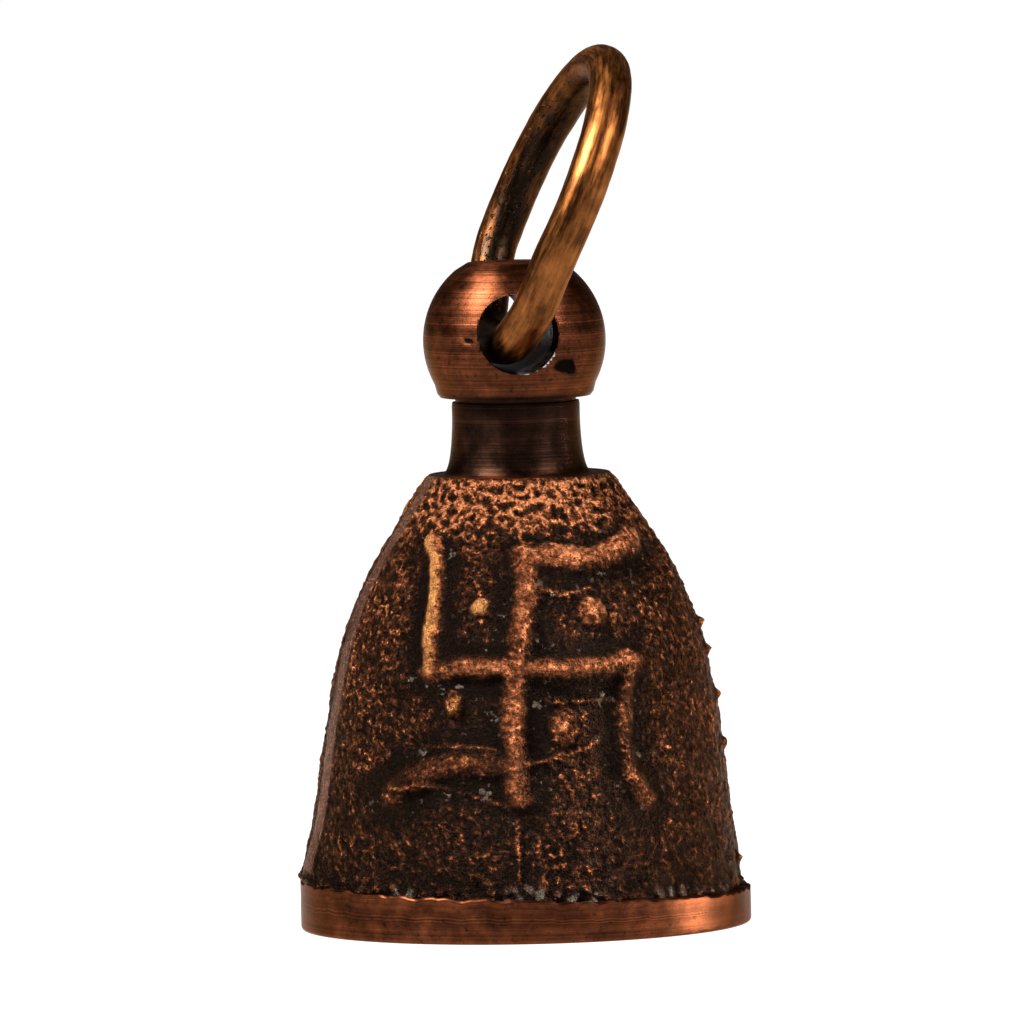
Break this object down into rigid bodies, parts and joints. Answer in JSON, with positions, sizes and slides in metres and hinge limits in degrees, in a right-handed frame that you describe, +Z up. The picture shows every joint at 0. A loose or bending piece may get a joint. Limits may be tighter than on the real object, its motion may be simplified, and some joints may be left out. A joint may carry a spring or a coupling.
{
  "type": "temple bell",
  "caption": "Small cast copper-finish hand and pendant bell with a drilled ball crown, a swinging wire ring and a hung clapper inside.",
  "frame": {"origin": "centre of the mouth's plane, on the bell's axis", "axes": "+Z up the bell's axis from mouth to ball, -Y towards the face with the emblem, +X to that face's right"},
  "size_m": [0.0306, 0.0306, 0.0597],
  "materials": {
    "antique_copper": "antique copper plating, dark in the recesses, rubbed bright on high points",
    "ring_bronze": "worn bronze wire",
    "zinc_plated_steel": "dull zinc plating",
    "turned_brass": "turned, slightly tarnished"
  },
  "bodies": {
    "bell": {"bell_casting": "antique_copper", "crown_eye": "zinc_plated_steel", "eye_lock_nut": "zinc_plated_steel"},
    "ring": {"hanging_ring": "ring_bronze"},
    "link": {"clapper_link": "zinc_plated_steel"},
    "clapper": {"clapper_stem": "zinc_plated_steel", "clapper_bob": "turned_brass", "bob_washer": "zinc_plated_steel"}
  },
  "joints": [
    {"name": "ring_swing", "type": "hinge", "parent": "bell", "child": "ring", "pos_m": [-0.00097, 0, 0.04055], "axis": [-0.1977, 0.9803, 0], "range_deg": [-165, 115]},
    {"name": "link_swing", "type": "hinge", "parent": "bell", "child": "link", "pos_m": [0, 0, 0.0206], "axis": [1, 0, 0], "range_deg": [-24, 24]},
    {"name": "clapper_swing", "type": "hinge", "parent": "link", "child": "clapper", "pos_m": [0, 0, 0.0177], "axis": [0, 1, 0], "range_deg": [-30, 30]}
  ]
}
